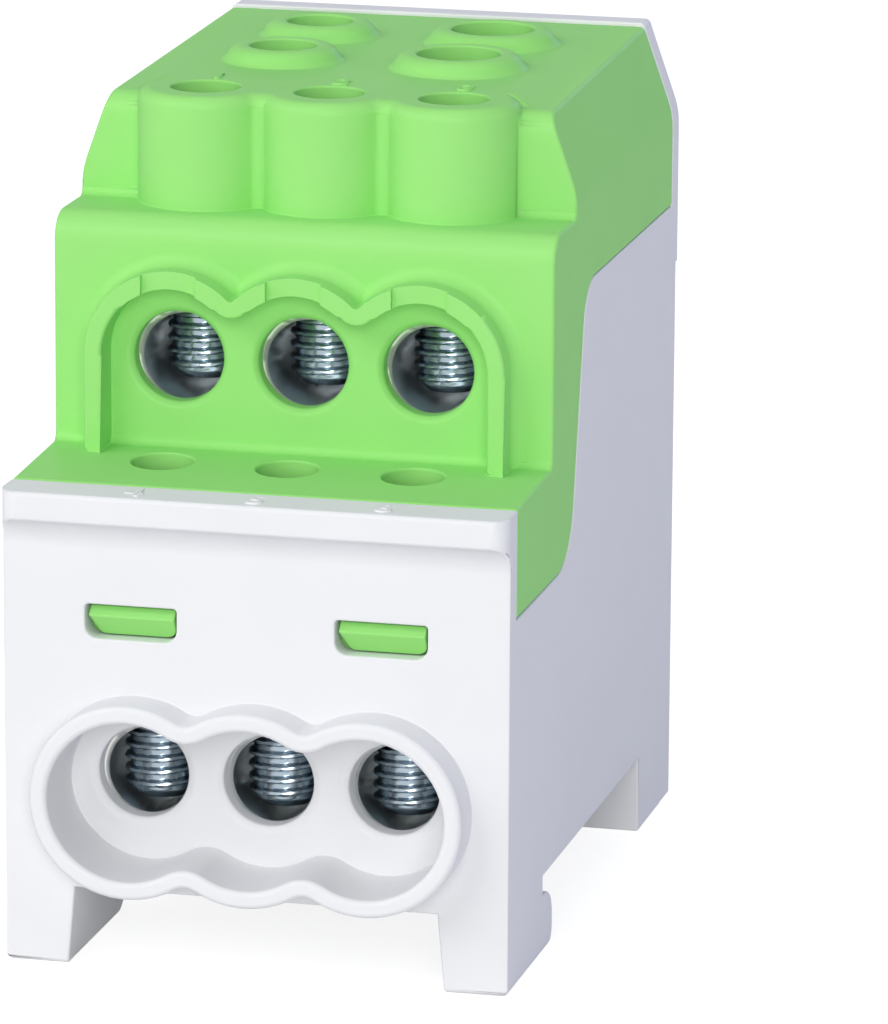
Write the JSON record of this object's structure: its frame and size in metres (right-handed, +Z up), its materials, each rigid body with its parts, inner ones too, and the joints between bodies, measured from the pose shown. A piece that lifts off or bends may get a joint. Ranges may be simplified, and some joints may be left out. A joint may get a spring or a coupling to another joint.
{
  "type": "distribution terminal block",
  "caption": "Rail-mounted terminal block: green stepped cover on a grey base, front wire entries in two rows and rear entries, all joined by one metal block with clamp screws.",
  "frame": {"origin": "middle of the width and depth, on the plane of the feet", "axes": "+X along the rail, +Y from the front wire entries to the back, +Z up from the rail"},
  "size_m": [0.04, 0.0636, 0.0667],
  "materials": {
    "grey_plastic": "satin moulded",
    "green_plastic": "satin moulded",
    "plated_brass": "nickel or tin plated",
    "zinc_steel": "blue zinc plated"
  },
  "bodies": {
    "housing": {"base_housing": "grey_plastic", "cover": "green_plastic", "terminal_block": "plated_brass"},
    "lower_screw_left_body": {"lower_screw_left": "zinc_steel"},
    "lower_screw_middle_body": {"lower_screw_middle": "zinc_steel"},
    "lower_screw_right_body": {"lower_screw_right": "zinc_steel"},
    "upper_screw_left_body": {"upper_screw_left": "zinc_steel"},
    "upper_screw_middle_body": {"upper_screw_middle": "zinc_steel"},
    "upper_screw_right_body": {"upper_screw_right": "zinc_steel"},
    "large_screw_front_body": {"large_screw_front": "zinc_steel"},
    "large_screw_rear_body": {"large_screw_rear": "zinc_steel"},
    "small_screw_front_body": {"small_screw_front": "zinc_steel"},
    "small_screw_rear_body": {"small_screw_rear": "zinc_steel"}
  },
  "joints": [
    {"name": "lower_screw_left_travel", "type": "slide", "parent": "housing", "child": "lower_screw_left_body", "axis": [0, 0, 1], "range_m": [-0.0001, 0.0061]},
    {"name": "lower_screw_middle_travel", "type": "slide", "parent": "housing", "child": "lower_screw_middle_body", "axis": [0, 0, 1], "range_m": [-0.0001, 0.0061]},
    {"name": "lower_screw_right_travel", "type": "slide", "parent": "housing", "child": "lower_screw_right_body", "axis": [0, 0, 1], "range_m": [-0.0001, 0.0061]},
    {"name": "upper_screw_left_travel", "type": "slide", "parent": "housing", "child": "upper_screw_left_body", "axis": [0, 0, 1], "range_m": [-0.0001, 0.0061]},
    {"name": "upper_screw_middle_travel", "type": "slide", "parent": "housing", "child": "upper_screw_middle_body", "axis": [0, 0, 1], "range_m": [-0.0001, 0.0061]},
    {"name": "upper_screw_right_travel", "type": "slide", "parent": "housing", "child": "upper_screw_right_body", "axis": [0, 0, 1], "range_m": [-0.0001, 0.0061]},
    {"name": "large_screw_front_travel", "type": "slide", "parent": "housing", "child": "large_screw_front_body", "axis": [0, 0, 1], "range_m": [-0.001, 0.0075]},
    {"name": "large_screw_rear_travel", "type": "slide", "parent": "housing", "child": "large_screw_rear_body", "axis": [0, 0, 1], "range_m": [-0.001, 0.0075]},
    {"name": "small_screw_front_travel", "type": "slide", "parent": "housing", "child": "small_screw_front_body", "axis": [0, 0, 1], "range_m": [-0.0008, 0.006]},
    {"name": "small_screw_rear_travel", "type": "slide", "parent": "housing", "child": "small_screw_rear_body", "axis": [0, 0, 1], "range_m": [-0.0008, 0.006]}
  ]
}
